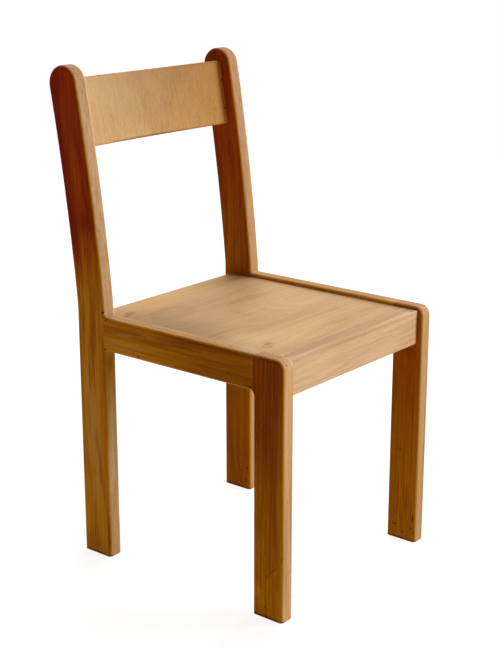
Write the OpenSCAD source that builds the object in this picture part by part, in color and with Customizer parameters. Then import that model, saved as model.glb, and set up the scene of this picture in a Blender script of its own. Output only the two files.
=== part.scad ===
// Choir chair of solid beech. Two dowelled side frames carry a front rail, a rear rail and
// a bowed backrest, and a flat seat is let in between the frames on battens and corner blocks.
// The chair faces -Y, +Z is up, and the origin is on the floor under the middle of its box.
// Left and right are those of someone who looks at the chair from the front.

/* [Overall] */
// Width over the two side frames
chair_width = 433; // [390:1:520]
// Height of the posts' tops above the floor
chair_height = 885; // [820:1:960]
// Depth on the floor, from the fronts of the front legs to the backs of the posts
base_depth = 462; // [410:1:520]
// Height of the seat's top above the floor
seat_height = 450; // [400:1:480]

/* [Side frames] */
// Thickness of the legs, posts and side rails, across the chair
frame_thickness = 30; // [26:1:40]
// Depth of a front leg, front to back
leg_depth = 62; // [56:1:75]
// Depth of a post, front to back, from the floor to its top
post_depth = 65; // [58:1:80]
// Height of a side rail
side_rail_height = 61; // [54:1:72]
// Rise of a side rail's top above the seat
side_rail_rise = 6.5; // [0:0.5:10]
// Radius of the round-over along every edge of a side frame
round_over_radius = 6; // [2:0.5:9]
// Radius of a front leg's top corner, seen from the side
knee_radius = 18; // [12:1:28]
// Radius of the hollow between a front leg and the underside of its side rail
leg_hollow_radius = 10; // [5:0.5:16]
// Radius of the hollow between a post and the underside of its side rail
post_hollow_radius = 4; // [3:0.5:12]
// Radius of the hollow between a post and the top of its side rail
top_hollow_radius = 6; // [3:0.5:12]

/* [Post curve] */
// Radius of the short bend just above the side rail, along the post's middle line
bend_radius = 200; // [150:10:400]
// Angle of the short bend, in degrees
bend_angle = 5; // [3:0.25:7]
// Radius of the long sweep from the bend to the top, along the post's middle line
sweep_radius = 4060; // [3000:20:8000]

/* [Front and rear rails] */
// Height of the front rail, whose top is flush with the seat
front_rail_height = 62; // [54:1:75]
// Thickness of the front rail, front to back
front_rail_thickness = 30; // [22:1:36]
// Distance of the front rail's face behind the fronts of the legs
front_rail_setback = 9.5; // [7:0.5:14]
// Thickness of the rear rail, front to back
rear_rail_thickness = 30; // [22:1:34]
// Distance of the rear rail's face and the seat's rear edge in front of the posts' backs
rear_rail_setback = 9.5; // [7:0.5:14]
// Radius of the rounded long edges of the front and rear rails
rail_edge_radius = 3; // [1:0.5:5]
// Radius of the eased upright edges at the front rail's ends
rail_end_radius = 1.5; // [0.5:0.5:3]

/* [Seat] */
// Thickness of the seat
seat_thickness = 18; // [14:1:22]
// Radius of the seat's rounded rear edge
seat_rear_radius = 12; // [4:1:13]
// Gap between the seat and the side frames and front rail
seat_gap = 0.3; // [0.2:0.1:1]

/* [Backrest] */
// Height of the backrest, measured along the posts
backrest_height = 120; // [90:1:130]
// Distance of the backrest's middle below the posts' tops
backrest_drop = 83; // [80:1:165]
// Thickness of the backrest
backrest_thickness = 10; // [9:0.5:16]
// Depth of the backrest's bow, middle behind ends
backrest_bow = 20; // [10:1:26]
// Distance of the backrest's ends behind the posts' fronts
backrest_setback = 19.8; // [10:0.1:26]
// Radius of the backrest's corners, seen from the front
backrest_corner_radius = 6; // [2:0.5:14]
// Radius of the backrest's rounded long edges
backrest_edge_radius = 4; // [1:0.5:4.5]
// Radius of the eased upright edges at the backrest's ends
backrest_end_radius = 1.5; // [0.5:0.5:3]

/* [Seat supports] */
// Width of a batten, away from the rail that carries it
batten_width = 20; // [16:1:26]
// Height of a batten
batten_height = 20; // [16:1:24]
// Length of a corner block along each of its two rails
corner_block_length = 60; // [54:1:70]
// Height of a corner block
corner_block_height = 28; // [24:1:34]
// Width of a corner block's blunt ends
corner_block_end = 12; // [8:1:15]
// Gap between a batten's end and the corner block
batten_end_gap = 1; // [0.5:0.5:5]

/* [Dowels] */
// Diameter of the dowels in the frame joints
dowel_diameter = 10; // [6:1:12]
// Length of the dowels in the frame joints
dowel_length = 40; // [30:1:44]
// Diameter of the backrest's dowels
backrest_dowel_diameter = 6; // [4:0.5:6]
// Length of the backrest's dowels
backrest_dowel_length = 30; // [20:1:40]
// Gap round a dowel in its hole
dowel_fit = 0.1; // [0.05:0.05:0.2]
// Space left at each end of a dowel for glue
glue_space = 1; // [0.5:0.5:2]

/* [Screws] */
// Diameter of a screw's shank
screw_diameter = 4; // [3:0.5:5]
// Diameter of a screw's countersunk head
screw_head_diameter = 8; // [7:0.5:9]
// Length of the screws from the battens into the rails
batten_screw_length = 35; // [30:1:42]
// Length of the screws from below into the seat
seat_screw_length = 30; // [27:1:31]
// Depth of those screws in the seat
seat_screw_bite = 11; // [8:0.5:12]
// Length of the screws from the corner blocks into the rails
corner_screw_length = 45; // [38:1:50]
// Gap round a screw in its hole
screw_fit = 0.1; // [0.05:0.05:0.2]

/* [Hidden] */

// Facets of a full turn, on small arcs and along the wide ones of the posts and the backrest
small_arc_facets = 96;
wide_arc_facets = 720;
$fn = small_arc_facets;
// How far a cut runs past the surface that it leaves through
overrun = 1;
// How far the stretches of a post run into each other, so that they join
seam_overlap = 0.000001;
// Places are rounded to this step, and angles along a post to the other one
placing_step = 0.01;
angle_step = 0.001;
function stepped(value, step) = round(value / step) * step;

// Side frames, seen from the side
inner_width = chair_width - 2 * frame_thickness;
frame_middle = (chair_width - frame_thickness) / 2;
rail_top = seat_height + side_rail_rise;
rail_bottom = rail_top - side_rail_height;

// The post's middle line is upright to the bend, and ends at the middle of its round top
bend_start_z = rail_top + top_hollow_radius;
bend_end_z = bend_start_z + bend_radius * sin(bend_angle);
top_rise = chair_height - post_depth / 2 - bend_end_z;
top_angle = stepped(asin(sin(bend_angle) + top_rise / sweep_radius), angle_step);
top_z = bend_end_z + sweep_radius * (sin(top_angle) - sin(bend_angle));
bend_reach = bend_radius * (1 - cos(bend_angle));
post_reach = bend_reach + sweep_radius * (cos(bend_angle) - cos(top_angle));

// Places from front to back
front_y = -stepped((base_depth + post_reach) / 2, placing_step);
leg_back_y = front_y + leg_depth;
rear_y = front_y + base_depth;
post_front_y = rear_y - post_depth;
post_middle_y = rear_y - post_depth / 2;
bend_end_y = post_middle_y + bend_reach;
top_y = post_middle_y + post_reach;
front_rail_y = front_y + front_rail_setback;
front_rail_back_y = front_rail_y + front_rail_thickness;
rear_rail_back_y = rear_y - rear_rail_setback;
rear_rail_y = rear_rail_back_y - rear_rail_thickness;

// Seat and what carries it
seat_underside = seat_height - seat_thickness;
cross_rail_bottom = seat_height - front_rail_height;
rear_rail_height = seat_underside - cross_rail_bottom;
batten_bottom = seat_underside - batten_height;
corner_block_bottom = seat_underside - corner_block_height;
side_batten_start_y = front_rail_back_y + corner_block_length + batten_end_gap;
side_batten_length = rear_rail_y - corner_block_length - batten_end_gap - side_batten_start_y;
side_batten_middle_y = side_batten_start_y + side_batten_length / 2;
front_batten_length = inner_width - 2 * (corner_block_length + batten_end_gap);

// Backrest, in a frame on the post's middle line that leans back with it
backrest_middle_height = chair_height - backrest_drop;
backrest_angle = asin(sin(bend_angle) + (backrest_middle_height - bend_end_z) / sweep_radius);
backrest_y = bend_end_y + sweep_radius * (cos(bend_angle) - cos(backrest_angle));
backrest_end_y = backrest_setback + backrest_thickness / 2 - post_depth / 2;
backrest_radius = (pow(inner_width / 2, 2) + pow(backrest_bow, 2)) / (2 * backrest_bow);
backrest_inner_radius = backrest_radius - backrest_thickness / 2;
backrest_end_slope = asin(inner_width / 2 / backrest_radius);
backrest_half_turn = asin((inner_width / 2 + overrun) / backrest_inner_radius);

// Dowels sit at equal distances from the middle of the rail, apart by a share of its height
dowel_spacing_share = 0.52;
dowel_chamfer = dowel_diameter / 10;

// Screws along a batten, and across a corner block, as shares of their lengths
batten_screw_shares = [-0.38, 0, 0.38];
seat_screw_shares = [-0.19, 0.19];
block_seat_screw_share = 0.3;
block_rail_screw_share = 0.6;
block_screw_height_shares = [0.29, 0.71];
screw_head_height = (screw_head_diameter - screw_diameter) / 2;
screw_tip_length = 1.5 * screw_diameter;

// The waste outside a rounded corner at the origin, with the wood below it and to its left
module corner_waste(radius) {
    translate([-radius, -radius])
        difference() {
            square(radius + overrun);
            circle(radius);
        }
}

// The left side frame's plane: x runs back, y runs up and z is the chair's +X
module in_left_frame() {
    translate([-frame_middle, 0, 0]) rotate([90, 0, 90]) children();
}

// Places something in a coarse and then a fine move, so that stretches of a post meet exactly
module place(point) {
    coarse = [for (value = point) stepped(value, placing_step)];
    translate(coarse) translate(point - coarse) children();
}

module frame_board() {
    translate([0, 0, -frame_thickness / 2]) linear_extrude(frame_thickness) children();
}

// Waste of the round-over on both faces of a side frame; the edge is at x = 0, wood at x < 0
module round_over_section() {
    for (face = [0, 1])
        mirror([0, face]) translate([0, frame_thickness / 2]) corner_waste(round_over_radius);
}

// Round-over along a straight edge that starts at a point and runs at an angle, wood on its right
module straight_round_over(start, angle, length) {
    translate(start)
        rotate([0, 0, angle])
            rotate([90, 0, 90]) linear_extrude(length) round_over_section();
}

// Round-over along a quarter of an outer corner
module outer_round_over(centre, angle, radius) {
    translate(centre)
        rotate([0, 0, angle])
            rotate_extrude(angle = 90) translate([radius, 0]) round_over_section();
}

// Round-over along a quarter of a hollow
module hollow_round_over(centre, angle, radius) {
    translate(centre)
        rotate([0, 0, angle])
            rotate_extrude(angle = 90) translate([radius, 0]) mirror([1, 0]) round_over_section();
}

// Leg, rail and post are rounded over after they are joined, so each takes the same cuts
module frame_round_overs() {
    leg_hollow_top = rail_bottom - leg_hollow_radius;
    post_hollow_top = rail_bottom - post_hollow_radius;
    knee_z = rail_top - knee_radius;
    in_left_frame() {
        straight_round_over([front_y, -overrun], 90, knee_z + overrun);
        outer_round_over([front_y + knee_radius, knee_z], 90, knee_radius);
        straight_round_over([front_y + knee_radius, rail_top], 0,
            post_front_y - top_hollow_radius - front_y - knee_radius);
        hollow_round_over([post_front_y - top_hollow_radius, rail_top + top_hollow_radius],
            -90, top_hollow_radius);
        straight_round_over([leg_back_y, leg_hollow_top], -90, leg_hollow_top + overrun);
        hollow_round_over([leg_back_y + leg_hollow_radius, leg_hollow_top], 90, leg_hollow_radius);
        straight_round_over([post_front_y - post_hollow_radius, rail_bottom], 180,
            post_front_y - post_hollow_radius - leg_back_y - leg_hollow_radius);
        hollow_round_over([post_front_y - post_hollow_radius, post_hollow_top],
            0, post_hollow_radius);
        straight_round_over([post_front_y, -overrun], 90, post_hollow_top + overrun);
        straight_round_over([rear_y, bend_start_z], -90, bend_start_z + overrun);
    }
}

// Horn of a rail that fills a hollow, ended blunt before it runs out to nothing
horn_depth_share = 0.66;
module rail_horn(radius) {
    difference() {
        translate([0, -radius * horn_depth_share]) square([radius, radius]);
        translate([radius, -radius]) circle(radius);
        square([radius, radius]);
    }
}

// Outline of a post across its middle line, and the half of it that its round top turns about
module post_section() {
    difference() {
        square([post_depth, frame_thickness], center = true);
        mirror([1, 0]) translate([post_depth / 2, 0]) round_over_section();
        translate([post_depth / 2, 0]) round_over_section();
    }
}

module post_half_section() {
    difference() {
        translate([0, -frame_thickness / 2]) square([post_depth / 2, frame_thickness]);
        translate([post_depth / 2, 0]) round_over_section();
    }
}

// Stretch of a post along an arc that starts at a point of the middle line and leans back
module post_arc(start, radius, start_angle, end_angle) {
    place(start + radius * [cos(start_angle), -sin(start_angle)])
        rotate_extrude(
            start = 180 - end_angle, angle = end_angle - start_angle, $fn = wide_arc_facets
        )
            translate([radius, 0]) post_section($fn = small_arc_facets);
}

module dowel(diameter, length) {
    chamfer = dowel_chamfer;
    rotate_extrude()
        polygon([
            [0, -length / 2], [diameter / 2 - chamfer, -length / 2],
            [diameter / 2, chamfer - length / 2], [diameter / 2, length / 2 - chamfer],
            [diameter / 2 - chamfer, length / 2], [0, length / 2]
        ]);
}

module dowel_hole(diameter, length) {
    cylinder(h = length + 2 * glue_space, d = diameter + 2 * dowel_fit, center = true);
}

// Both dowels of a joint, one over the other, with the joint's middle at a given height
module dowel_pair(middle_z, height) {
    for (end = [-1, 1])
        translate([0, 0, middle_z + end * height * dowel_spacing_share / 2]) children();
}

module at_side_rail_front_dowels() {
    translate([-frame_middle, leg_back_y, 0])
        dowel_pair(rail_bottom + side_rail_height / 2, side_rail_height)
            rotate([90, 0, 0]) children();
}

module at_side_rail_rear_dowels() {
    translate([-frame_middle, post_front_y, 0])
        dowel_pair(rail_bottom + side_rail_height / 2, side_rail_height)
            rotate([90, 0, 0]) children();
}

module at_front_rail_dowels() {
    translate([-inner_width / 2, front_rail_y + front_rail_thickness / 2, 0])
        dowel_pair(cross_rail_bottom + front_rail_height / 2, front_rail_height)
            rotate([0, 90, 0]) children();
}

module at_rear_rail_dowels() {
    translate([-inner_width / 2, rear_rail_y + rear_rail_thickness / 2, 0])
        dowel_pair(cross_rail_bottom + rear_rail_height / 2, rear_rail_height)
            rotate([0, 90, 0]) children();
}

// Leaning frame of the backrest: its y is square to the post and its z runs up the post
module in_backrest() {
    translate([0, backrest_y, backrest_middle_height])
        rotate([-backrest_angle, 0, 0]) children();
}

// The backrest's dowels follow its bow, so they stay in the middle of its thickness
module at_backrest_dowels() {
    in_backrest()
        translate([-inner_width / 2, backrest_end_y, 0])
            rotate([0, 0, backrest_end_slope])
                dowel_pair(0, backrest_height) rotate([0, 90, 0]) children();
}

// A countersunk screw that points down, with the top of its head at the origin
module screw(length) {
    rotate_extrude()
        polygon([
            [0, 0], [screw_head_diameter / 2, 0], [screw_diameter / 2, -screw_head_height],
            [screw_diameter / 2, screw_tip_length - length], [0, -length]
        ]);
}

// Its hole, with a shaft above the head for the driver
module screw_hole(length) {
    shank = screw_diameter / 2 + screw_fit;
    head = screw_head_diameter / 2 + screw_fit;
    rotate_extrude()
        polygon([
            [0, length], [head, length], [head, 0], [shank, -screw_head_height],
            [shank, screw_tip_length - length], [0, -length - screw_fit]
        ]);
}

// Screws from the left side batten into its rail, from the front batten, and up into the seat
module at_side_batten_screws() {
    for (share = batten_screw_shares)
        translate([
            batten_width - inner_width / 2, side_batten_middle_y + share * side_batten_length,
            batten_bottom + batten_height / 2
        ])
            rotate([0, 90, 0]) children();
}

module at_front_batten_screws() {
    for (share = batten_screw_shares)
        translate([
            share * front_batten_length, front_rail_back_y + batten_width,
            batten_bottom + batten_height / 2
        ])
            rotate([-90, 0, 0]) children();
}

seat_screw_z = seat_underside + seat_screw_bite - seat_screw_length;

module at_side_batten_seat_screws() {
    for (share = seat_screw_shares)
        translate([
            (batten_width - inner_width) / 2, side_batten_middle_y + share * side_batten_length,
            seat_screw_z
        ])
            rotate([180, 0, 0]) children();
}

module at_front_batten_seat_screws() {
    for (share = seat_screw_shares)
        translate([
            share * front_batten_length, front_rail_back_y + batten_width / 2, seat_screw_z
        ])
            rotate([180, 0, 0]) children();
}

// Corner of the left front block: x runs in from the side rail and y back from the front rail
module at_front_left_corner() {
    translate([-inner_width / 2, front_rail_back_y, corner_block_bottom]) children();
}

module at_rear_left_corner() {
    translate([-inner_width / 2, rear_rail_y, corner_block_bottom]) mirror([0, 1, 0]) children();
}

// In a block's own corner: the screw up into the seat, and the two into its rails
module at_block_seat_screw() {
    offset = corner_block_length * block_seat_screw_share;
    translate([offset, offset, seat_screw_z - corner_block_bottom]) rotate([180, 0, 0]) children();
}

module at_block_rail_screws() {
    offset = corner_block_length * block_rail_screw_share;
    head = corner_block_length + corner_block_end - offset - screw_head_diameter;
    translate([head, offset, corner_block_height * block_screw_height_shares[1]])
        rotate([0, 90, 0]) children();
    translate([offset, head, corner_block_height * block_screw_height_shares[0]])
        rotate([-90, 0, 0]) children();
}

module mirrored() {
    mirror([1, 0, 0]) children();
}

module on_both_sides() {
    children();
    mirrored() children();
}

module front_leg() {
    color("burlywood") difference() {
        in_left_frame() frame_board() difference() {
            translate([front_y, 0]) square([leg_depth, rail_top]);
            translate([front_y, rail_top]) mirror([1, 0]) corner_waste(knee_radius);
        }
        frame_round_overs();
        at_side_rail_front_dowels() dowel_hole(dowel_diameter, dowel_length);
        at_front_rail_dowels() dowel_hole(dowel_diameter, dowel_length);
    }
}

module rear_post() {
    color("burlywood") difference() {
        in_left_frame() {
            frame_board() translate([post_front_y, 0]) square([post_depth, bend_start_z + seam_overlap]);
            post_arc([post_middle_y, bend_start_z], bend_radius, 0, bend_angle);
            post_arc([bend_end_y, bend_end_z - seam_overlap], sweep_radius, bend_angle, top_angle);
            place([top_y, top_z - 2 * seam_overlap])
                rotate_extrude(start = 360 - top_angle, angle = 180) post_half_section();
        }
        frame_round_overs();
        at_side_rail_rear_dowels() dowel_hole(dowel_diameter, dowel_length);
        at_rear_rail_dowels() dowel_hole(dowel_diameter, dowel_length);
        at_backrest_dowels() dowel_hole(backrest_dowel_diameter, backrest_dowel_length);
    }
}

module side_rail() {
    color("tan") difference() {
        in_left_frame() frame_board() {
            translate([leg_back_y, rail_bottom])
                square([post_front_y - leg_back_y, side_rail_height]);
            translate([leg_back_y, rail_bottom]) rail_horn(leg_hollow_radius);
            translate([post_front_y, rail_bottom]) mirror([1, 0]) rail_horn(post_hollow_radius);
            translate([post_front_y, rail_top])
                mirror([1, 0]) mirror([0, 1]) rail_horn(top_hollow_radius);
        }
        frame_round_overs();
        at_side_rail_front_dowels() dowel_hole(dowel_diameter, dowel_length);
        at_side_rail_rear_dowels() dowel_hole(dowel_diameter, dowel_length);
        at_side_batten_screws() screw_hole(batten_screw_length);
        at_front_left_corner() at_block_rail_screws() screw_hole(corner_screw_length);
        at_rear_left_corner() at_block_rail_screws() screw_hole(corner_screw_length);
    }
}

// A board across the chair, drawn as its outline seen from the side
module across(width) {
    translate([-width / 2, 0, 0]) rotate([90, 0, 90]) linear_extrude(width) children();
}

module front_rail() {
    color("burlywood") difference() {
        across(inner_width) translate([front_rail_y, cross_rail_bottom]) difference() {
            square([front_rail_thickness, front_rail_height]);
            mirror([1, 0]) mirror([0, 1]) corner_waste(rail_edge_radius);
            translate([0, front_rail_height]) mirror([1, 0]) corner_waste(rail_edge_radius);
            translate([front_rail_thickness, 0]) mirror([0, 1]) corner_waste(rail_edge_radius);
        }
        on_both_sides() {
            translate([-inner_width / 2, front_rail_y, cross_rail_bottom - overrun])
                linear_extrude(front_rail_height + 2 * overrun)
                    mirror([1, 0]) mirror([0, 1]) corner_waste(rail_end_radius);
            at_front_rail_dowels() dowel_hole(dowel_diameter, dowel_length);
            at_front_left_corner() at_block_rail_screws() screw_hole(corner_screw_length);
        }
        at_front_batten_screws() screw_hole(batten_screw_length);
    }
}

module rear_rail() {
    color("tan") difference() {
        across(inner_width) translate([rear_rail_y, cross_rail_bottom]) difference() {
            square([rear_rail_thickness, rear_rail_height]);
            mirror([1, 0]) mirror([0, 1]) corner_waste(rail_edge_radius);
            translate([rear_rail_thickness, 0]) mirror([0, 1]) corner_waste(rail_edge_radius);
        }
        on_both_sides() {
            at_rear_rail_dowels() dowel_hole(dowel_diameter, dowel_length);
            at_rear_left_corner() at_block_rail_screws() screw_hole(corner_screw_length);
        }
    }
}

module seat_panel() {
    start_y = front_rail_back_y + seat_gap;
    color("wheat") difference() {
        across(inner_width - 2 * seat_gap) difference() {
            translate([start_y, seat_underside])
                square([rear_rail_back_y - start_y, seat_thickness]);
            translate([rear_rail_back_y, seat_height]) corner_waste(seat_rear_radius);
        }
        on_both_sides() {
            at_side_batten_seat_screws() screw_hole(seat_screw_length);
            at_front_left_corner() at_block_seat_screw() screw_hole(seat_screw_length);
            at_rear_left_corner() at_block_seat_screw() screw_hole(seat_screw_length);
        }
        at_front_batten_seat_screws() screw_hole(seat_screw_length);
    }
}

// Rounded rectangle about the origin
module rounded_rectangle(width, height, radius) {
    difference() {
        square([width, height], center = true);
        for (across = [0, 1], up = [0, 1])
            mirror([across, 0]) mirror([0, up])
                translate([width / 2, height / 2]) corner_waste(radius);
    }
}

// Waste outside the round of an upright edge at the backrest's left end, seen from above: the
// round touches the end and the bowed front (side = -1) or the bowed back (side = 1)
module backrest_end_waste(side) {
    radius = backrest_end_radius;
    arc_radius = backrest_radius + side * (backrest_thickness / 2 - radius);
    turn = asin((inner_width / 2 - radius) / arc_radius);
    end_way = [-1, 0];
    face_way = side * [-sin(turn), cos(turn)];
    translate([radius - inner_width / 2, backrest_bow - backrest_radius + arc_radius * cos(turn)])
        difference() {
            polygon((radius + overrun) * [
                [0, 0], end_way, (end_way + face_way) / (1 + end_way * face_way), face_way
            ]);
            circle(radius);
        }
}

module backrest_panel() {
    depth = backrest_bow + 2 * backrest_thickness;
    color("peru") difference() {
        in_backrest() translate([0, backrest_end_y, 0]) intersection() {
            translate([0, backrest_bow - backrest_radius, 0])
                rotate([0, 0, 90 - backrest_half_turn])
                    rotate_extrude(angle = 2 * backrest_half_turn, $fn = wide_arc_facets)
                        translate([backrest_radius, 0])
                            rounded_rectangle(backrest_thickness, backrest_height,
                                backrest_edge_radius, $fn = small_arc_facets);
            translate([0, depth - backrest_thickness, 0])
                rotate([90, 0, 0]) linear_extrude(depth)
                    rounded_rectangle(inner_width, backrest_height, backrest_corner_radius);
        }
        on_both_sides() {
            in_backrest()
                translate([0, backrest_end_y, -backrest_height / 2 - overrun])
                    for (side = [-1, 1])
                        linear_extrude(backrest_height + 2 * overrun) backrest_end_waste(side);
            at_backrest_dowels() dowel_hole(backrest_dowel_diameter, backrest_dowel_length);
        }
    }
}

module side_batten() {
    color("sandybrown") difference() {
        translate([-inner_width / 2, side_batten_start_y, batten_bottom])
            cube([batten_width, side_batten_length, batten_height]);
        at_side_batten_screws() screw_hole(batten_screw_length);
        at_side_batten_seat_screws() screw_hole(seat_screw_length);
    }
}

module seat_batten_front() {
    color("sandybrown") difference() {
        translate([-front_batten_length / 2, front_rail_back_y, batten_bottom])
            cube([front_batten_length, batten_width, batten_height]);
        at_front_batten_screws() screw_hole(batten_screw_length);
        at_front_batten_seat_screws() screw_hole(seat_screw_length);
    }
}

module corner_block() {
    long = corner_block_length;
    end = corner_block_end;
    color("sandybrown") difference() {
        linear_extrude(corner_block_height)
            polygon([[0, 0], [long, 0], [long, end], [end, long], [0, long]]);
        at_block_seat_screw() screw_hole(seat_screw_length);
        at_block_rail_screws() screw_hole(corner_screw_length);
    }
}

module front_leg_left() { front_leg(); }
module front_leg_right() { mirrored() front_leg(); }
module rear_post_left() { rear_post(); }
module rear_post_right() { mirrored() rear_post(); }
module side_rail_left() { side_rail(); }
module side_rail_right() { mirrored() side_rail(); }
module seat_batten_left() { side_batten(); }
module seat_batten_right() { mirrored() side_batten(); }
module corner_block_front_left() { at_front_left_corner() corner_block(); }
module corner_block_front_right() { mirrored() corner_block_front_left(); }
module corner_block_rear_left() { at_rear_left_corner() corner_block(); }
module corner_block_rear_right() { mirrored() corner_block_rear_left(); }

module side_rail_front_dowels_left() {
    color("khaki") at_side_rail_front_dowels() dowel(dowel_diameter, dowel_length);
}
module side_rail_front_dowels_right() { mirrored() side_rail_front_dowels_left(); }

module side_rail_rear_dowels_left() {
    color("khaki") at_side_rail_rear_dowels() dowel(dowel_diameter, dowel_length);
}
module side_rail_rear_dowels_right() { mirrored() side_rail_rear_dowels_left(); }

module front_rail_dowels_left() {
    color("khaki") at_front_rail_dowels() dowel(dowel_diameter, dowel_length);
}
module front_rail_dowels_right() { mirrored() front_rail_dowels_left(); }

module rear_rail_dowels_left() {
    color("khaki") at_rear_rail_dowels() dowel(dowel_diameter, dowel_length);
}
module rear_rail_dowels_right() { mirrored() rear_rail_dowels_left(); }

module backrest_dowels_left() {
    color("khaki") at_backrest_dowels() dowel(backrest_dowel_diameter, backrest_dowel_length);
}
module backrest_dowels_right() { mirrored() backrest_dowels_left(); }

module batten_screws() {
    color("silver") {
        on_both_sides() at_side_batten_screws() screw(batten_screw_length);
        at_front_batten_screws() screw(batten_screw_length);
    }
}

module seat_screws() {
    color("silver") {
        on_both_sides() {
            at_side_batten_seat_screws() screw(seat_screw_length);
            at_front_left_corner() at_block_seat_screw() screw(seat_screw_length);
            at_rear_left_corner() at_block_seat_screw() screw(seat_screw_length);
        }
        at_front_batten_seat_screws() screw(seat_screw_length);
    }
}

module corner_block_screws() {
    color("silver") on_both_sides() {
        at_front_left_corner() at_block_rail_screws() screw(corner_screw_length);
        at_rear_left_corner() at_block_rail_screws() screw(corner_screw_length);
    }
}

front_leg_left();
front_leg_right();
rear_post_left();
rear_post_right();
side_rail_left();
side_rail_right();
front_rail();
rear_rail();
seat_panel();
backrest_panel();
seat_batten_left();
seat_batten_right();
seat_batten_front();
corner_block_front_left();
corner_block_front_right();
corner_block_rear_left();
corner_block_rear_right();
side_rail_front_dowels_left();
side_rail_front_dowels_right();
side_rail_rear_dowels_left();
side_rail_rear_dowels_right();
front_rail_dowels_left();
front_rail_dowels_right();
rear_rail_dowels_left();
rear_rail_dowels_right();
backrest_dowels_left();
backrest_dowels_right();
batten_screws();
seat_screws();
corner_block_screws();
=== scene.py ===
"""Choir chair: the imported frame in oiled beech, on a white floor in soft studio light."""
import math

import bpy
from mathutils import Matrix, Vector

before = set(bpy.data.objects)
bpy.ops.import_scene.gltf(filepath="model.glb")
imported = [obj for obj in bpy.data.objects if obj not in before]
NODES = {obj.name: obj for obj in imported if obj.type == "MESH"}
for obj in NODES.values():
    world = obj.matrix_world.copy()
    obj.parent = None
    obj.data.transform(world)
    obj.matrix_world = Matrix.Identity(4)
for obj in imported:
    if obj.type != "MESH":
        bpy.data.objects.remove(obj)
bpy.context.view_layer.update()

MM = 0.001
BLACK = (0.0, 0.0, 0.0, 1.0)
WHITE = (1.0, 1.0, 1.0, 1.0)

# The camera stands where the photograph was taken from, found from the chair's edges
CAMERA_PLACE = Vector((-1.8662, -1.5334, 1.1344))
CAMERA_TURN = (math.radians(73.59), 0.0, math.radians(-50.82))
CAMERA_LENS = 77.87
SENSOR_WIDTH = 36.0


def linear(red, green, blue):
    """Linear colour, with alpha, of an sRGB one given in 0 to 255."""
    def value(v):
        v /= 255
        return v / 12.92 if v <= 0.04045 else ((v + 0.055) / 1.055) ** 2.4
    return (value(red), value(green), value(blue), 1.0)


class Shader:
    """A material, with short calls for the nodes that the finishes are made of."""

    def __init__(self, name):
        self.material = bpy.data.materials.new(name)
        self.material.use_nodes = True
        self.tree = self.material.node_tree
        self.tree.nodes.clear()
        self.output = self.node("ShaderNodeOutputMaterial")

    def node(self, kind, **settings):
        made = self.tree.nodes.new(kind)
        for name, value in settings.items():
            setattr(made, name, value)
        return made

    def put(self, socket, value):
        """Links a socket to the input, or sets the input to a plain value."""
        if isinstance(value, bpy.types.NodeSocket):
            self.tree.links.new(value, socket)
        else:
            socket.default_value = value

    def math(self, operation, a, b=0.0, clamp=False):
        made = self.node("ShaderNodeMath", operation=operation, use_clamp=clamp)
        self.put(made.inputs[0], a)
        self.put(made.inputs[1], b)
        return made.outputs[0]

    def vector(self, operation, a, b=(0.0, 0.0, 0.0)):
        made = self.node("ShaderNodeVectorMath", operation=operation)
        self.put(made.inputs[0], a)
        self.put(made.inputs[1], b)
        return made.outputs["Value" if operation == "LENGTH" else "Vector"]

    def split(self, vector):
        made = self.node("ShaderNodeSeparateXYZ")
        self.put(made.inputs[0], vector)
        return made.outputs

    def join(self, x, y, z):
        made = self.node("ShaderNodeCombineXYZ")
        for socket, value in zip(made.inputs, (x, y, z)):
            self.put(socket, value)
        return made.outputs[0]

    def spread(self, value, low, high, to_low=0.0, to_high=1.0, smooth=True):
        """Brings a value's stretch from low to high to another stretch, held at its ends."""
        kind = "SMOOTHSTEP" if smooth else "LINEAR"
        made = self.node("ShaderNodeMapRange", interpolation_type=kind)
        for socket, v in zip(made.inputs, (value, low, high, to_low, to_high)):
            self.put(socket, v)
        return made.outputs[0]

    def swing(self, noise, size):
        """Turns a noise into a swing of that size to both sides of zero."""
        return self.spread(noise, 0.30, 0.70, -size, size, smooth=False)

    def noise(self, vector, detail=2.0, roughness=0.5):
        made = self.node("ShaderNodeTexNoise")
        self.put(made.inputs["Vector"], vector)
        self.put(made.inputs["Scale"], 1.0)
        self.put(made.inputs["Detail"], detail)
        self.put(made.inputs["Roughness"], roughness)
        return made.outputs["Fac"]

    def mix(self, a, b, share, blend="MIX"):
        made = self.node("ShaderNodeMix", data_type="RGBA", blend_type=blend)
        self.put(made.inputs["Factor"], share)
        self.put(made.inputs[6], a)
        self.put(made.inputs[7], b)
        return made.outputs[2]

    def multiply(self, a, b, share=1.0):
        return self.mix(a, b, share, "MULTIPLY")


# Colours of the oiled wood, from its palest bands to its darkest
PALE = linear(222, 190, 144)
HONEY = linear(205, 168, 120)
DEEP = linear(168, 118, 66)

# Bright zinc on the screws, clean and yellowed
ZINC = linear(186, 188, 190)
ZINC_YELLOWED = linear(196, 184, 150)

# Factors of colour where oil has gone deeper in end grain and the boards' sides, and painted shade on
# the faces and arrises that turn left, away from the lamps, golden and deeper
END_TINT = (0.78, 0.68, 0.56, 1.0)
SIDE_TINT = (0.96, 0.91, 0.82, 1.0)
RIGHT_TINT = (0.86, 0.82, 0.84, 1.0)
LEFT_PAINTED_SHADE = (0.92, 0.86, 0.58)
ARRIS_PAINTED_SHADE = (1.04, 0.90, 0.22, 1.0)

# On the sides the darker streaks are also redder, and the paler ones greener
REDDER = (0.88, 0.77, 0.72, 1.0)
GREENER = (1.09, 1.17, 1.00, 1.0)

# The share of a face's normal that points sideways or endways where its tint begins and is full
SIDE_TURN = (0.45, 0.97)
ARRIS_TURN = (0.05, 0.50)
END_TURN = (0.35, 0.95)
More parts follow.
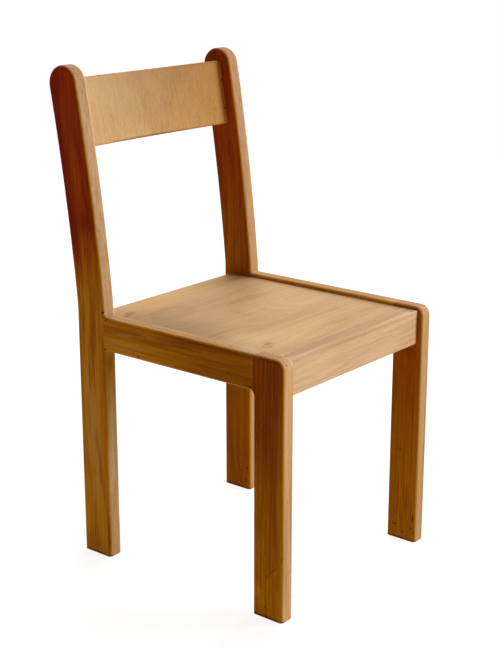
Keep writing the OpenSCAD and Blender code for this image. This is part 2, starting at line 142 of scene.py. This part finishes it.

# What has marked the wood: grime, stains, dark end grain, ochre spots and grey scuffs; where the grey
# lies in patches near the rear post it is also painted sheen
GRIME = linear(56, 24, 6)
STAIN = linear(174, 122, 64)
END_STREAK = linear(150, 92, 48)
OCHRE = linear(190, 120, 30)
GREY = linear(234, 202, 198)
# Painted light and shade: a golden band and a paler band along the left sides' front arrises, plain
# shade, and darker, redder shade high on the rear post's left side
ARRIS_PAINTED_GOLD = linear(224, 150, 60)
ARRIS_PAINTED_LIGHT = linear(216, 172, 116)
SHADE = (0.72, 0.66, 0.62)
RED_PAINTED_SHADE = (0.64, 0.10, 0.20)

# Sawn beech that was never oiled: paler, pinker, with little figure
UNOILED = dict(
    tone=0.16, bands=0.30, rings=0.10, streaks=0.10, scuffs=0.0,
    hue=(0.98, 1.02, 1.18), low=(1.0, 1.0, 1.0),
)

# Which coordinates run along the grain and across it, for each way that the grain can run
GRAIN_ORDER = {"X": (0, 1, 2), "Y": (1, 0, 2), "Z": (2, 0, 1)}

# Noise of the wood: how often it changes in a metre along the grain and across it, and its detail
STREAKS = (6.0, 260.0, 4.0)
FINE_FIBRES = (40.0, 750.0, 3.0)
FLECKS = (130.0, 620.0, 2.0)
SCUFFS = (10.0, 120.0, 4.0)

# How far the fine fibres and the slow clouds move the wood's tone
FINE_SWING = 0.14
CLOUD_SWING = 0.08

# Bend of the pith to either side, and ripple of the rings, in metres
PITH_BEND = 0.03
RING_RIPPLE = 0.001


class Mark:
    """A spot, scratch or worn patch, or a patch of painted light or shade: an ellipsoid whose place
    and half sizes are in millimetres.
    """

    def __init__(self, place, size, colour=GRIME, share=0.9, turn=0.0, core=0.5, blend="MIX",
                 scuffed=False):
        self.place = [v * MM for v in place]
        self.size = [v * MM for v in size]
        self.colour = colour
        self.share = share
        self.turn = (math.radians(turn), 0.0, 0.0)
        self.core = core
        self.blend = blend
        self.scuffed = scuffed


def tint(place, size, factors, share, core, turn=0.0):
    """A mark that multiplies the wood's colour and so keeps its figure."""
    return Mark(place, size, (*factors, 1.0), share, turn, core, blend="MULTIPLY")


class Board:
    """How one board was cut from the tree, how strongly its figure shows, how it has aged, and the
    light and shade painted on it.

    The pith's place across the grain is in metres, and the ring and the band are widths in
    millimetres. The tone lies between pale at 0 and deep at 1, and the bands are its range. The
    hue tints the whole board, and low and high are painted shade and light on its left side,
    which faces away from the lamps, before and past the reach.
    """

    def __init__(self, grain, pith, slope=(0.0, 0.0), ring=3.2, seed=0.0, tone=0.35,
                 bands=0.45, band=14.0, rings=0.05, streaks=0.12, flecks=0.4, scuffs=0.08,
                 hue=(1.0, 1.0, 1.0), low=LEFT_PAINTED_SHADE, high=None, reach=None, swells=(), marks=()):
        self.grain = grain
        self.pith = pith
        self.slope = slope
        self.ring = ring * MM
        self.seed = seed
        self.tone = tone
        self.bands = bands
        self.band = band * MM
        self.rings = rings
        self.streaks = streaks
        self.flecks = flecks
        self.scuffs = scuffs
        self.hue = hue
        self.low = low
        self.high = high
        self.reach = reach
        self.swells = swells
        self.marks = marks


def ellipsoid(s, coords, place, size, turn=(0.0, 0.0, 0.0)):
    """Distance from an ellipsoid's middle, which is 1 on its surface."""
    mapping = s.node("ShaderNodeMapping", vector_type="TEXTURE")
    for socket, value in zip(mapping.inputs, (coords, place, turn, size)):
        s.put(socket, value)
    return s.vector("LENGTH", mapping.outputs[0])


def stretched(s, axes, lengthwise, crosswise):
    """The place on the board, scaled apart along the grain and across it."""
    along, u, v = axes
    return s.join(
        s.math("MULTIPLY", along, lengthwise),
        s.math("MULTIPLY", u, crosswise),
        s.math("MULTIPLY", v, crosswise),
    )


def ring_distance(s, board, coords, axes):
    """Distance from a bent pith, which growth rings and bands follow."""
    along, u, v = axes
    seed = board.seed
    slow = stretched(s, axes, 3.0, 7.0)
    wave_u = s.noise(s.vector("ADD", slow, (seed, 0.0, 0.0)), detail=1.0)
    wave_v = s.noise(s.vector("ADD", slow, (0.0, seed + 5.0, 0.0)), detail=1.0)
    quick = stretched(s, axes, 9.0, 45.0)
    ripple = s.noise(s.vector("ADD", quick, (seed, seed, 0.0)), detail=2.0)
    bent = []
    for across, wave, pith, slope in zip((u, v), (wave_u, wave_v), board.pith, board.slope):
        offset = s.math("ADD", s.math("MULTIPLY", along, slope), pith)
        bend = s.spread(wave, 0.0, 1.0, -PITH_BEND, PITH_BEND, smooth=False)
        bent.append(s.math("ADD", s.math("SUBTRACT", across, offset), bend))
    distance = s.vector("LENGTH", s.join(*bent, 0.0))
    for place, size, height in board.swells:
        away = ellipsoid(s, coords, [c * MM for c in place], [c * MM for c in size])
        distance = s.math("ADD", distance, s.spread(away, 0.0, 1.0, height * MM, 0.0))
    return s.math(
        "ADD", distance, s.spread(ripple, 0.0, 1.0, -RING_RIPPLE, RING_RIPPLE, smooth=False)
    )


def fibres(s, board, axes, lengthwise, crosswise, detail):
    place = stretched(s, axes, lengthwise, crosswise)
    shifted = s.vector("ADD", place, (board.seed, board.seed * 2, 0.0))
    return s.noise(shifted, detail=detail, roughness=0.6)


def wood_tone(s, board, coords, axes, distance, late, fine):
    """The wood's tone before tints and marks: 0 is pale and 1 is deep."""
    along = axes[0]
    across_bands = s.math("DIVIDE", distance, board.band)
    band_place = s.join(across_bands, s.math("MULTIPLY", along, 1.3), board.seed)
    band = s.noise(band_place, detail=2.5, roughness=0.55)
    streaks = fibres(s, board, axes, *STREAKS)
    cloud = s.noise(s.vector("MULTIPLY", coords, (7.0, 7.0, 7.0)), detail=2.0)
    darkest = board.tone + board.bands / 2
    palest = board.tone - board.bands / 2
    tone = s.spread(band, 0.25, 0.75, palest, darkest, smooth=False)
    tone = s.math("ADD", tone, s.swing(streaks, board.streaks))
    tone = s.math("ADD", tone, s.swing(fine, FINE_SWING))
    tone = s.math("ADD", tone, s.math("MULTIPLY", late, board.rings))
    return s.math("ADD", tone, s.swing(cloud, CLOUD_SWING), clamp=True)


def tinted(s, board, colour, along, tone):
    """The colour with the board's own hue, the oil that went into its sides and ends, and painted
    shade on the faces and arrises that turn left, away from the lamps.
    """
    normal = s.split(s.node("ShaderNodeNewGeometry").outputs["Normal"])
    on_side = s.spread(s.math("ABSOLUTE", normal[0]), *SIDE_TURN)
    leftward = s.math("MULTIPLY", normal[0], -1.0)
    colour = s.multiply(colour, (*board.hue, 1.0))
    colour = s.multiply(colour, SIDE_TINT, on_side)
    colour = s.multiply(colour, RIGHT_TINT, s.spread(normal[0], *SIDE_TURN))
    # Painted shade: faces and arrises turning left, away from the lamps, go golden and deeper
    colour = s.multiply(colour, ARRIS_PAINTED_SHADE, s.spread(leftward, *ARRIS_TURN))
    # Painted shade and light on the left side, from low to high along the grain past the reach
    left_side_painted_shade = (*board.low, 1.0)
    if board.reach:
        left_side_painted_shade = s.mix(left_side_painted_shade, (*board.high, 1.0), s.spread(along, *board.reach))
    colour = s.multiply(colour, left_side_painted_shade, s.spread(leftward, *SIDE_TURN))
    colour = s.multiply(colour, s.mix(GREENER, REDDER, s.spread(tone, 0.20, 0.75)), on_side)
    endward = s.math("ABSOLUTE", normal[GRAIN_ORDER[board.grain][0]])
    return s.multiply(colour, END_TINT, s.spread(endward, *END_TURN))


def marked(s, board, coords, colour, scuffed):
    for mark in board.marks:
        away = ellipsoid(s, coords, mark.place, mark.size, mark.turn)
        share = s.spread(away, mark.core, 1.0, mark.share, 0.0)
        if mark.scuffed:
            share = s.math("MULTIPLY", share, scuffed)
        colour = s.mix(colour, mark.colour, share, mark.blend)
    return colour


def beech(name, board):
    """Beech cut and marked as the board says."""
    s = Shader(name)
    coords = s.node("ShaderNodeTexCoord").outputs["Object"]
    xyz = s.split(coords)
    axes = [xyz[i] for i in GRAIN_ORDER[board.grain]]
    distance = ring_distance(s, board, coords, axes)
    ring = s.math("FRACT", s.math("DIVIDE", distance, board.ring))
    late = s.math("MULTIPLY", s.spread(ring, 0.20, 0.86), s.spread(ring, 0.88, 1.0, 1.0, 0.0))
    fine = fibres(s, board, axes, *FINE_FIBRES)
    tone = wood_tone(s, board, coords, axes, distance, late, fine)
    flecks = s.spread(fibres(s, board, axes, *FLECKS), 0.56, 0.70)
    scuffed = s.spread(fibres(s, board, axes, *SCUFFS), 0.44, 0.62)

    light = s.mix(PALE, HONEY, s.spread(tone, 0.0, 0.5, smooth=False))
    colour = s.mix(light, DEEP, s.spread(tone, 0.45, 1.0, smooth=False))
    colour = s.mix(colour, DEEP, s.math("MULTIPLY", flecks, board.flecks))
    colour = s.mix(colour, GREY, s.math("MULTIPLY", scuffed, board.scuffs))
    colour = tinted(s, board, colour, axes[0], tone)
    colour = marked(s, board, coords, colour, scuffed)

    bump = s.node("ShaderNodeBump")
    height = s.math("ADD", s.math("MULTIPLY", fine, 0.6), s.math("MULTIPLY", late, 0.2))
    s.put(bump.inputs["Height"], height)
    s.put(bump.inputs["Strength"], 0.2)
    s.put(bump.inputs["Distance"], 0.3 * MM)

    principled = s.node("ShaderNodeBsdfPrincipled")
    s.put(principled.inputs["Base Color"], colour)
    s.put(principled.inputs["Roughness"], s.spread(tone, 0.0, 1.0, 0.56, 0.44, smooth=False))
    s.put(principled.inputs["Specular IOR Level"], 0.08)
    s.put(principled.inputs["Normal"], bump.outputs[0])
    s.put(s.output.inputs["Surface"], principled.outputs[0])
    return s.material


def zinc(name):
    """Bright zinc, a little yellowed and clouded."""
    s = Shader(name)
    coords = s.node("ShaderNodeTexCoord").outputs["Object"]
    cloud = s.noise(s.vector("MULTIPLY", coords, (350.0, 350.0, 350.0)), detail=3.0)
    grain = s.noise(s.vector("MULTIPLY", coords, (2500.0, 2500.0, 2500.0)), detail=2.0)
    principled = s.node("ShaderNodeBsdfPrincipled")
    s.put(principled.inputs["Base Color"], s.mix(ZINC, ZINC_YELLOWED, s.spread(cloud, 0.35, 0.70)))
    s.put(principled.inputs["Metallic"], 1.0)
    s.put(principled.inputs["Roughness"], s.spread(grain, 0.30, 0.70, 0.26, 0.44, smooth=False))
    s.put(s.output.inputs["Surface"], principled.outputs[0])
    return s.material


def boards():
    """The boards that oil was put on, each from its own place in its own tree."""
    return {
        # The low and high tints are painted shade and light on each board's left side, changing along
        # the grain past the reach
        "front_leg_left": Board(
            "Z", (-0.33, -0.19), seed=1.0, tone=0.42, bands=0.8, streaks=0.22,
            hue=(1.22, 1.22, 1.36), low=(1.02, 1.02, 0.42), high=(0.52, 0.26, 0.30),
            reach=(0.06, 0.42), marks=front_leg_left_marks(),
        ),
        "front_leg_right": Board(
            "Z", (0.31, -0.28), seed=2.3, tone=0.42, bands=0.6, streaks=0.18,
            hue=(0.90, 0.83, 0.82), low=(1.00, 0.92, 0.60), high=(0.72, 0.42, 0.50),
            reach=(0.05, 0.35), marks=front_leg_right_marks(),
        ),
        "rear_post_left": Board(
            "Z", (-0.27, 0.02), (0.0, 0.04), seed=3.1, tone=0.38, bands=0.7, streaks=0.30,
            scuffs=0.20, hue=(0.96, 0.95, 1.0), low=(1.16, 1.13, 1.70), high=(0.71, 0.19, 0.30),
            reach=(0.46, 0.64), marks=rear_post_left_marks(),
        ),
        "rear_post_right": Board(
            "Z", (0.30, 0.05), (0.0, 0.04), seed=4.7, tone=0.42, bands=0.6, streaks=0.16,
            hue=(0.88, 0.80, 0.80), low=(0.80, 0.63, 0.50), high=(0.74, 0.27, 0.40),
            reach=(0.45, 0.76), marks=rear_post_right_marks(),
        ),
        "side_rail_left": Board(
            "Y", (-0.13, 0.36), (0.05, 0.0), seed=5.2, tone=0.36, bands=0.7, streaks=0.24,
            scuffs=0.16, low=(0.78, 0.64, 0.60), high=(1.16, 1.12, 1.80), reach=(-0.14, 0.10),
            marks=side_rail_left_marks(),
        ),
        "side_rail_right": Board(
            "Y", (0.25, 0.47), (0.05, 0.0), seed=6.4, tone=0.45,
            marks=[tint((203, -25, 458), (26, 195, 12), (0.74, 0.60, 0.36), 0.95, core=0.7)],
        ),
        "front_rail": Board(
            "X", (-0.19, 0.52), (0.03, 0.06), ring=9.0, seed=7.9, tone=0.22, bands=0.55,
            rings=0.12, streaks=0.16, flecks=0.15, hue=(1.12, 1.16, 1.48),
            marks=front_rail_marks(),
        ),
        "rear_rail": Board("X", (0.12, 0.35), (0.0, 0.02), seed=8.5),
        "seat_panel": Board(
            "X", (-0.02, 0.33), (0.06, 0.02), ring=4.4, seed=9.6, tone=0.32, bands=0.60,
            band=26.0, rings=0.13, streaks=0.16, flecks=0.30, hue=(0.96, 0.945, 0.91),
            swells=(((-99, 85, 450), (60, 42, 60), 7.0), ((58, 42, 450), (66, 18, 60), 7.0)),
            marks=seat_marks(),
        ),
        "backrest_panel": Board(
            "Z", (0.02, 0.32), (0.0, 0.03), ring=3.4, seed=10.8, tone=0.32, bands=0.36,
            band=24.0, streaks=0.16, hue=(0.94, 0.92, 0.86), marks=backrest_marks(),
        ),
    }


def front_leg_left_marks():
    end_grain = [
        Mark((-201, y, 457), (17, 2.0, 5), END_STREAK, 0.75, core=0.3)
        for y in (-199, -206, -213, -220, -228, -236)
    ]
    return end_grain + [
        Mark((-214, -254, 112), (3, 1.0, 11), share=0.7, turn=10),
        Mark((-216, -238, 91), (3, 0.9, 18), share=0.65, turn=44),
        Mark((-216, -225, 78), (3, 2.2, 1.5)),
        Mark((-216, -221, 20), (3, 2.4, 1.8), share=0.8),
        tint((-216, -198, 0), (5, 40, 52), (0.62, 0.46, 0.36), 0.9, core=0.2),
        Mark((-216, -201, 5), (3, 3, 4), share=0.7, core=0.2),
        Mark((-205, -254, 448), (2, 2, 1.6)),
        # Painted shade: the left side darker and redder along its rear edge
        tint((-216, -197, 330), (4, 6, 150), (0.80, 0.62, 0.6), 0.9, core=0.2),
        Mark((-214, -226, 0), (14, 60, 6), share=0.9, core=0.3),
        # Painted light: the left side paler towards the lit front arris
        Mark((-217, -250, 190), (5, 7, 300), ARRIS_PAINTED_LIGHT, 0.45, core=0.0),
        Mark((-216, -254, 60), (5, 7, 150), ARRIS_PAINTED_LIGHT, 0.55, core=0.0),
    ]


def front_leg_right_marks():
    return [
        Mark((187, -251, 48), (3, 2.2, 9)),
        Mark((187, -249, 27), (3, 3.2, 4), core=0.3),
        Mark((187, -212, 27), (3, 6, 1.3), share=0.85),
        Mark((187, -225, 25), (3, 3, 1.3), share=0.85),
        Mark((187, -231, 15), (3, 2.6, 3.2), core=0.3),
        Mark((187, -238, 9), (3, 4, 1.6), share=0.7, core=0.2),
        Mark((187, -253, 19), (2, 2.4, 4.0)),
        Mark((187, -220, 179), (3, 2.0, 4.5), linear(120, 40, 10), 0.7),
        # Painted shade: the inner face darker just under the rails
        tint((187, -232, 372), (6, 24, 18), (0.72, 0.55, 0.6), 0.9, core=0.1),
        tint((187, -244, 200), (3, 2.5, 170), SHADE, 0.6, core=0.2),
        # Painted light: the inner face paler towards the lit front arris
        Mark((187, -250, 200), (4, 6, 260), ARRIS_PAINTED_LIGHT, 0.40, core=0.0),
        Mark((189, -226, 0), (14, 60, 6), share=0.9, core=0.3),
    ]


def rear_post_left_marks():
    return [
        Mark((-215, 143, 465), (4, 3, 3), share=0.95),
        Mark((-216, 175, 164), (3, 2.4, 3.4), OCHRE, 0.7),
        tint((-217, 203, 720), (8, 17, 95), (1.18, 1.95, 0.60), 0.95, turn=-11, core=0.1),
        # Painted shade: the upper left side of the post darker and redder
        tint((-217, 176, 618), (5, 32, 30), (0.62, 0.38, 0.32), 0.8, turn=-24, core=0.0),
        tint((-217, 173, 650), (5, 7, 70), RED_PAINTED_SHADE, 0.7, turn=-12, core=0.0),
        tint((-217, 189, 745), (5, 8, 60), RED_PAINTED_SHADE, 0.6, turn=-12, core=0.0),
        tint((-217, 242, 745), (8, 36, 150), RED_PAINTED_SHADE, 0.95, turn=-9, core=0.3),
        tint((-217, 208, 600), (8, 20, 120), RED_PAINTED_SHADE, 0.9, turn=-11, core=0.2),
        tint((-217, 246, 850), (8, 36, 50), RED_PAINTED_SHADE, 0.8, core=0.2),
        # Painted light: the left side paler towards the lit front arris
        Mark((-217, 146, 240), (5, 7, 260), ARRIS_PAINTED_LIGHT, 0.30, core=0.0),
        # Painted light and shade: a golden band along the front left arris
        Mark((-215, 145, 190), (7, 6, 200), ARRIS_PAINTED_GOLD, 0.55, core=0.3),
        Mark((-215, 143, 40), (7, 4, 60), linear(140, 66, 20), 0.9, core=0.2, scuffed=True),
        tint((-216, 182, 0), (6, 52, 72), (0.70, 0.60, 0.42), 0.9, core=0.2),
        # Grey scuffs, partly painted sheen: the left side paler and greyer low on the post
        Mark((-217, 180, 262), (7, 36, 130), GREY, 1.0, core=0.3, scuffed=True),
        Mark((-217, 166, 155), (6, 30, 80), GREY, 1.0, core=0.3, scuffed=True),
        Mark((-214, 173, 0), (14, 60, 6), share=0.9, core=0.3),
        # Painted shade: the front face darker just under the side rail
        tint((-202, 141, 374), (14, 6, 30), (0.76, 0.50, 0.34), 0.9, core=0.1),
        tint((-203, 140, 220), (13, 5, 150), (1.02, 1.20, 1.45), 0.9, core=0.2),
    ]


def rear_post_right_marks():
    return [
        Mark((187, 147, 46), (3, 2.4, 5), share=0.8),
        Mark((187, 149, 19), (3, 3, 4), share=0.8),
        Mark((187, 162, 36), (3, 3, 2.4), share=0.6),
        Mark((187, 191, 699), (3, 1.2, 24), linear(20, 8, 4), 0.95, turn=3),
        tint((187, 151, 210), (3, 2.5, 180), SHADE, 0.6, core=0.2),
        Mark((189, 173, 0), (14, 60, 6), share=0.9, core=0.3),
    ]


def side_rail_left_marks():
    return [
        Mark((-216, 138, 399), (4, 5, 3)),
        # Painted shade: the rail's top golden towards its shaded left arris
        tint((-203, -25, 458), (16, 175, 7), (0.90, 0.80, 0.58), 0.9, core=0.7),
        Mark((-216, -189, 401), (4, 4, 3), share=0.8),
        Mark((-216, 135, 453), (3, 2, 2), share=0.8),
        Mark((-216, 59, 402), (3, 2.6, 2), share=0.8),
        Mark((-216, -144, 415), (3, 5, 1.3), share=0.75),
        Mark((-215, -89, 454), (3, 2, 1.5), share=0.6),
        Mark((-216, 78, 432), (3, 1.8, 1.4), share=0.6),
        # Grey scuffs, partly painted sheen: the rail's left side paler and greyer towards the rear
        # post
        Mark((-217, 112, 437), (7, 62, 14), GREY, 0.9, core=0.1, scuffed=True),
        Mark((-217, 106, 414), (7, 74, 14), GREY, 0.9, core=0.1, scuffed=True),
        Mark((-217, 34, 442), (7, 64, 8), GREY, 0.6, core=0.0, scuffed=True),
        Mark((-217, -40, 404), (6, 70, 9), GREY, 0.4, core=0.0, scuffed=True),
        # Painted light: a golden band along the top left arris
        tint((-214.5, -25, 458.5), (8, 190, 8), (1.25, 1.35, 0.45), 0.9, core=0.4),
    ]


def front_rail_marks():
    return [
        tint((0, -228, 450), (280, 15, 5), (0.71, 0.63, 0.42), 0.90, core=0.6),
        tint((0, -245, 448), (280, 7, 7), (0.78, 0.72, 0.54), 0.90, core=0.3),
        tint((-150, -247, 410), (150, 5, 60), (1.12, 1.20, 1.26), 0.9, core=0.2),
        Mark((60, -247, 424), (90, 3, 2.0), STAIN, 0.35, core=0.0),
        Mark((112, -247, 432), (60, 3, 1.6), STAIN, 0.40, core=0.0),
        Mark((-60, -247, 396), (90, 3, 1.6), STAIN, 0.30, core=0.0),
        tint((170, -247, 420), (60, 4, 40), (0.90, 0.86, 0.82), 0.9, core=0.0),
        Mark((-174, -227, 450), (4, 5, 2), STAIN, 0.8),
        Mark((176, -241, 450), (2.6, 2.2, 2)),
    ]


def seat_marks():
    return [
        Mark((0, -217, 450), (260, 1.8, 2), STAIN, 0.75, core=0.3),
        Mark((-138, -163, 450), (14, 8, 3), STAIN, 0.85, core=0.3),
        Mark((-148, -176, 450), (10, 7, 3), STAIN, 0.6, core=0.1),
        Mark((-155, -168, 450), (5, 7, 3), STAIN, 0.6, core=0.3),
        Mark((-152, 140, 450), (18, 10, 3), STAIN, 0.85, core=0.2),
        Mark((-166, 132, 450), (14, 9, 3), STAIN, 0.75, core=0.1),
        tint((-90, -162, 450), (190, 52, 20), (1.14, 1.20, 1.18), 0.9, core=0.3),
        tint((10, -170, 450), (80, 13, 20), (0.90, 0.84, 0.76), 0.9, core=0.0),
        tint((-20, -96, 450), (190, 17, 20), (0.92, 0.87, 0.80), 0.9, core=0.0),
        tint((-99, 85, 450), (54, 36, 20), (0.88, 0.83, 0.77), 0.8, core=0.90),
        tint((-104, 83, 450), (45, 29, 20), (1.05, 1.06, 1.07), 0.8, core=0.5),
        tint((58, 42, 450), (62, 14, 20), (0.87, 0.82, 0.76), 0.9, core=0.7),
        tint((-140, -108, 450), (58, 44, 20), (1.20, 1.28, 1.36), 0.9, core=0.1),
        # Painted light: the seat paler towards its back, under the backrest
        tint((-40, 160, 450), (200, 90, 20), (1.10, 1.12, 1.12), 0.8, core=0.0),
        tint((-186, 20, 450), (110, 260, 20), (0.60, 0.59, 0.55), 0.9, core=0.0),
        # Painted light: the seat paler towards its back
        tint((30, 178, 450), (280, 90, 20), (1.28, 1.34, 1.18), 0.9, core=0.1),
    ]


def backrest_marks():
    return [
        Mark((184, 206, 827), (2.4, 8, 3)),
        Mark((183, 198, 774), (4, 8, 2.4)),
        Mark((161, 202, 774), (3, 8, 3), OCHRE, 0.7),
        Mark((156, 201, 757), (3, 8, 8), OCHRE, 0.5, core=0.1),
        # Painted shade and light: the panel darker and more golden towards its right end, where the
        # post shades it, darker towards its top and along its lower edge, and paler above that edge
        tint((200, 205, 800), (300, 80, 200), (0.98, 0.85, 0.58), 0.95, core=0.1),
        tint((0, 230, 872), (300, 80, 75), (0.84, 0.75, 0.66), 0.9, core=0.0),
        tint((0, 200, 741), (300, 80, 6), (0.40, 0.34, 0.34), 0.9, core=0.2),
        tint((0, 200, 735), (300, 80, 80), (1.20, 1.22, 1.18), 0.9, core=0.0),
    ]


def supports():
    """The sawn and unoiled pieces under the seat and in the joints, each with its grain."""
    sides = ("left", "right")
    ends = ("front", "rear")
    battens = ["seat_batten_" + side for side in sides]
    blocks = ["corner_block_%s_%s" % (end, side) for end in ends for side in sides]
    across = [
        "%s_dowels_%s" % (piece, side)
        for piece in ("front_rail", "rear_rail", "backrest") for side in sides
    ]
    lengthwise = ["side_rail_%s_dowels_%s" % (end, side) for end in ends for side in sides]
    return [
        ("beech_battens_across", ["seat_batten_front"], Board("X", (0.1, 0.3), seed=11.5, **UNOILED)),
        ("beech_battens_lengthwise", battens, Board("Y", (0.2, 0.25), seed=12.3, **UNOILED)),
        ("beech_blocks", blocks, Board("X", (-0.1, 0.28), seed=13.9, ring=2.6, **UNOILED)),
        ("beech_dowels_across", across, Board("X", (0.0, 0.35), seed=14.2, ring=1.8, **UNOILED)),
        ("beech_dowels_lengthwise", lengthwise,
         Board("Y", (0.0, 0.35), seed=15.6, ring=1.8, **UNOILED)),
    ]


SCREWS = ("batten_screws", "corner_block_screws", "seat_screws")


def dress():
    for node in NODES.values():
        node.data.materials.clear()
    for name, board in boards().items():
        NODES[name].data.materials.append(beech("beech_" + name, board))
    for name, nodes, board in supports():
        material = beech(name, board)
        for node in nodes:
            NODES[node].data.materials.append(material)
    screw_zinc = zinc("zinc_screws")
    for name in SCREWS:
        NODES[name].data.materials.append(screw_zinc)


# What the camera sees of the floor: its glow near the chair and away from it, and its shadow
FLOOR_SIZE = 40.0
FLOOR_DROP = 0.5 * MM
FLOOR_GLOW_NEAR = 0.90
FLOOR_GLOW_FAR = 1.0
GLOW_REACH = (0.5, 1.6)
FLOOR_SHADE = (0.25, 0.25, 0.25, 1.0)
# The light that the floor sends up to the chair
FLOOR_BOUNCE = (0.48, 0.33, 0.040, 1.0)


def add_floor():
    """A white floor that keeps a faint shadow, and sends warm light up to the chair."""
    bpy.ops.mesh.primitive_plane_add(size=FLOOR_SIZE, location=(0.0, 0.0, -FLOOR_DROP))
    floor = bpy.context.object
    floor.name = "floor"
    s = Shader("floor_white")
    path = s.node("ShaderNodeLightPath")
    seen = s.math("MAXIMUM", path.outputs["Is Camera Ray"], path.outputs["Is Glossy Ray"])
    seen = s.math("MAXIMUM", seen, path.outputs["Is Transmission Ray"])
    away = s.vector("LENGTH", s.node("ShaderNodeTexCoord").outputs["Object"])
    glow_level = s.spread(away, *GLOW_REACH, FLOOR_GLOW_NEAR, FLOOR_GLOW_FAR)
    white = s.join(glow_level, glow_level, glow_level)
    diffuse = s.node("ShaderNodeBsdfDiffuse")
    s.put(diffuse.inputs["Color"], s.mix(BLACK, FLOOR_SHADE, seen))
    glow = s.node("ShaderNodeEmission")
    s.put(glow.inputs["Color"], s.mix(FLOOR_BOUNCE, white, seen))
    both = s.node("ShaderNodeAddShader")
    s.put(both.inputs[0], diffuse.outputs[0])
    s.put(both.inputs[1], glow.outputs[0])
    s.put(s.output.inputs["Surface"], both.outputs[0])
    floor.data.materials.append(s.material)


# The weak light that comes from all around
WORLD_WARMTH = (0.100, 0.020, 0.0, 1.0)


def add_world():
    """White where the camera looks, and a weak warm light on everything else."""
    world = bpy.data.worlds.new("studio")
    bpy.context.scene.world = world
    world.use_nodes = True
    tree = world.node_tree
    background = tree.nodes["Background"]
    path = tree.nodes.new("ShaderNodeLightPath")
    seen = path.outputs["Is Camera Ray"]
    for ray in ("Is Glossy Ray", "Is Transmission Ray"):
        either = tree.nodes.new("ShaderNodeMath")
        either.operation = "MAXIMUM"
        tree.links.new(seen, either.inputs[0])
        tree.links.new(path.outputs[ray], either.inputs[1])
        seen = either.outputs[0]
    colour = tree.nodes.new("ShaderNodeMix")
    colour.data_type = "RGBA"
    tree.links.new(seen, colour.inputs["Factor"])
    colour.inputs[6].default_value = WORLD_WARMTH
    colour.inputs[7].default_value = WHITE
    tree.links.new(colour.outputs[2], background.inputs["Color"])


LAMP_TARGET = Vector((0.0, 0.0, 0.45))
LAMP_DISTANCE = 3.0
LAMP_SIZE = 1.2


def add_lamp(name, azimuth, elevation, watts):
    """A square soft light turned to the chair, whose front is at 0 degrees and right at 90."""
    azimuth, elevation = math.radians(azimuth), math.radians(elevation)
    level = math.cos(elevation)
    way = Vector((math.sin(azimuth) * level, -math.cos(azimuth) * level, math.sin(elevation)))
    data = bpy.data.lights.new(name, "AREA")
    data.shape = "SQUARE"
    data.size = LAMP_SIZE
    data.energy = watts
    lamp = bpy.data.objects.new(name, data)
    lamp.location = LAMP_TARGET + LAMP_DISTANCE * way
    lamp.rotation_euler = (-way).to_track_quat("-Z", "Y").to_euler()
    bpy.context.scene.collection.objects.link(lamp)


def add_lamps():
    add_lamp("lamp_front", 40, 15, 66.0)
    add_lamp("lamp_right", 90, 15, 74.0)
    add_lamp("lamp_back", 130, 60, 46.0)


def add_camera():
    data = bpy.data.cameras.new("camera")
    data.lens = CAMERA_LENS
    data.sensor_width = SENSOR_WIDTH
    camera = bpy.data.objects.new("camera", data)
    camera.location = CAMERA_PLACE
    camera.rotation_euler = CAMERA_TURN
    bpy.context.scene.collection.objects.link(camera)
    bpy.context.scene.camera = camera


dress()
add_floor()
add_world()
add_lamps()
add_camera()
bpy.context.scene.view_settings.view_transform = "Standard"
